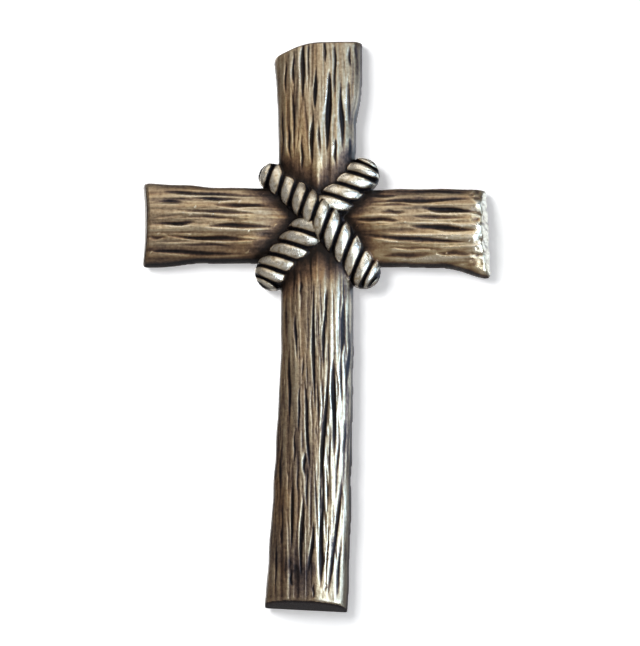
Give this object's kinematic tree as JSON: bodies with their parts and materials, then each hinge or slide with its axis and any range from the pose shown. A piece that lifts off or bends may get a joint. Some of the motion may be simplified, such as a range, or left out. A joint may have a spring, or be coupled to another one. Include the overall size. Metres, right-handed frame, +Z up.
{
  "type": "bronze grave cross",
  "caption": "Cast grave cross for a headstone: two rough-hewn timbers lashed with a twisted rope, with an open back and tapped bosses for fixing studs.",
  "frame": {"origin": "in the back plane, midway between the two tapped holes, where the axes of upright and crossbeam cross", "axes": "+Z up the upright, +X along the crossbeam to the viewer's right, -Y out of the front"},
  "size_m": [0.1825, 0.0256, 0.3],
  "materials": {
    "bronze": "antique: dark brown patina in the recesses, brushed pale brass on the ridges"
  },
  "bodies": {
    "root": {"cross": "bronze"}
  },
  "joints": []
}
